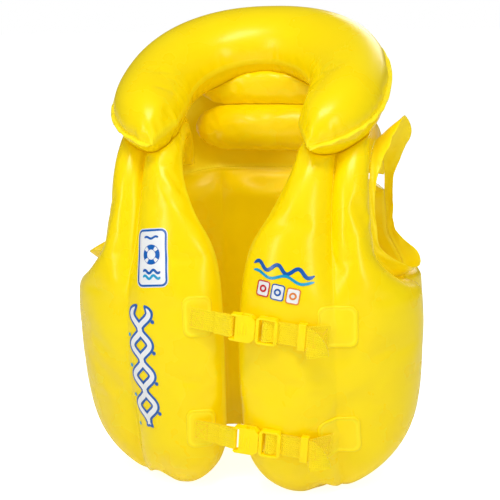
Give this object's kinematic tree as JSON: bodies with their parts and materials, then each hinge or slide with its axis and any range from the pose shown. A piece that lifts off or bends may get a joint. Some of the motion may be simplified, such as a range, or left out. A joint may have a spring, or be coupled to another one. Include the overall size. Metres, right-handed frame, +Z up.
{
  "type": "inflatable life jacket",
  "caption": "Inflatable yellow swim vest with a horseshoe neck collar, open front panels, two webbing straps with side-release buckles and push-in valves.",
  "frame": {"origin": "middle of the bounding box at the height of the lobes' lower ends, where the inflated vest stands", "axes": "+Z up through the neck, -Y the front with the two straps, +X the wearer's left"},
  "size_m": [0.3358, 0.252, 0.4439],
  "materials": {
    "pvc_film": "glossy inflated PVC film",
    "weld_band": "flat welded PVC film, satin and slightly crinkled",
    "webbing": "woven yellow polyester webbing",
    "buckle": "moulded yellow plastic",
    "valve": "soft clear PVC"
  },
  "bodies": {
    "root": {"collar_chamber": "pvc_film", "neck_roll": "pvc_film", "neck_web": "pvc_film", "front_chamber_left": "pvc_film", "front_chamber_right": "pvc_film", "back_chamber": "pvc_film", "neck_panel": "pvc_film", "armhole_flange_left": "weld_band", "armhole_flange_right": "weld_band", "upper_patch_right": "weld_band", "upper_patch_left": "weld_band", "upper_anchor_strap": "webbing", "upper_adjust_strap": "webbing", "upper_buckle_socket": "buckle", "upper_strap_keeper": "buckle", "lower_patch_right": "weld_band", "lower_patch_left": "weld_band", "lower_anchor_strap": "webbing", "lower_adjust_strap": "webbing", "lower_buckle_socket": "buckle", "lower_strap_keeper": "buckle", "collar_valve_weld": "weld_band", "front_valve_weld": "weld_band", "back_valve_weld": "weld_band"},
    "upper_plug": {"upper_buckle_plug": "buckle"},
    "upper_prong_top": {"upper_prong_top": "buckle"},
    "upper_prong_bottom": {"upper_prong_bottom": "buckle"},
    "lower_plug": {"lower_buckle_plug": "buckle"},
    "lower_prong_top": {"lower_prong_top": "buckle"},
    "lower_prong_bottom": {"lower_prong_bottom": "buckle"},
    "collar_valve_stem": {"collar_valve_stem": "valve"},
    "collar_valve_cap": {"collar_valve_cap": "valve"},
    "collar_valve_flap": {"collar_valve_flap": "valve"},
    "front_valve_stem": {"front_valve_stem": "valve"},
    "front_valve_cap": {"front_valve_cap": "valve"},
    "front_valve_flap": {"front_valve_flap": "valve"},
    "back_valve_stem": {"back_valve_stem": "valve"},
    "back_valve_cap": {"back_valve_cap": "valve"},
    "back_valve_flap": {"back_valve_flap": "valve"}
  },
  "joints": [
    {"name": "upper_plug_slide", "type": "slide", "parent": "root", "child": "upper_plug", "axis": [0.9945, 0, -0.1045], "range_m": [0, 0.014], "deforming": ["upper_adjust_strap", "upper_prong_top", "upper_prong_bottom"]},
    {"name": "upper_prong_top_squeeze", "type": "hinge", "parent": "upper_plug", "child": "upper_prong_top", "pos_m": [0.03173, -0.12105, 0.17872], "axis": [0, -1, 0], "range_deg": [0, 16], "stiffness_Nm_per_rad": 0.02},
    {"name": "upper_prong_bottom_squeeze", "type": "hinge", "parent": "upper_plug", "child": "upper_prong_bottom", "pos_m": [0.0306, -0.12105, 0.16798], "axis": [0, 1, 0], "range_deg": [0, 16], "stiffness_Nm_per_rad": 0.02},
    {"name": "lower_plug_slide", "type": "slide", "parent": "root", "child": "lower_plug", "axis": [0.9962, 0, -0.0872], "range_m": [0, 0.014], "deforming": ["lower_adjust_strap", "lower_prong_top", "lower_prong_bottom"]},
    {"name": "lower_prong_top_squeeze", "type": "hinge", "parent": "lower_plug", "child": "lower_prong_top", "pos_m": [0.03165, -0.12146, 0.07184], "axis": [0, -1, 0], "range_deg": [0, 16], "stiffness_Nm_per_rad": 0.02},
    {"name": "lower_prong_bottom_squeeze", "type": "hinge", "parent": "lower_plug", "child": "lower_prong_bottom", "pos_m": [0.03071, -0.12146, 0.06108], "axis": [0, 1, 0], "range_deg": [0, 16], "stiffness_Nm_per_rad": 0.02},
    {"name": "collar_valve_pull", "type": "slide", "parent": "root", "child": "collar_valve_stem", "axis": [0.6226, 0.5561, -0.5505], "range_m": [0, 0.01]},
    {"name": "collar_cap_open", "type": "hinge", "parent": "collar_valve_stem", "child": "collar_valve_cap", "pos_m": [0.11364, 0.07001, 0.38031], "axis": [0.6661, -0.7458, 0], "range_deg": [0, 120]},
    {"name": "collar_flap_open", "type": "hinge", "parent": "collar_valve_stem", "child": "collar_valve_flap", "pos_m": [0.10152, 0.05919, 0.38528], "axis": [-0.6661, 0.7458, 0], "range_deg": [0, 40], "stiffness_Nm_per_rad": 0.0005},
    {"name": "front_valve_pull", "type": "slide", "parent": "root", "child": "front_valve_stem", "axis": [0.2514, 0.9678, 0.0119], "range_m": [0, 0.01]},
    {"name": "front_cap_open", "type": "hinge", "parent": "front_valve_stem", "child": "front_valve_cap", "pos_m": [-0.05145, -0.06837, 0.13904], "axis": [0.9679, -0.2514, 0], "range_deg": [0, 120]},
    {"name": "front_flap_open", "type": "hinge", "parent": "front_valve_stem", "child": "front_valve_flap", "pos_m": [-0.05553, -0.0841, 0.13405], "axis": [-0.9679, 0.2514, 0], "range_deg": [0, 40], "stiffness_Nm_per_rad": 0.0005},
    {"name": "back_valve_pull", "type": "slide", "parent": "root", "child": "back_valve_stem", "axis": [-0.5443, 0.8277, -0.1368], "range_m": [0, 0.01]},
    {"name": "back_cap_open", "type": "hinge", "parent": "back_valve_stem", "child": "back_valve_cap", "pos_m": [-0.12015, 0.08597, 0.06348], "axis": [0.8355, 0.5495, 0], "range_deg": [0, 120]},
    {"name": "back_flap_open", "type": "hinge", "parent": "back_valve_stem", "child": "back_valve_flap", "pos_m": [-0.11091, 0.07193, 0.06095], "axis": [-0.8355, -0.5495, 0], "range_deg": [0, 40], "stiffness_Nm_per_rad": 0.0005}
  ],
  "couplings": [
    {"joint": "upper_prong_bottom_squeeze", "follows": "upper_prong_top_squeeze", "ratio": 1},
    {"joint": "lower_prong_bottom_squeeze", "follows": "lower_prong_top_squeeze", "ratio": 1}
  ]
}
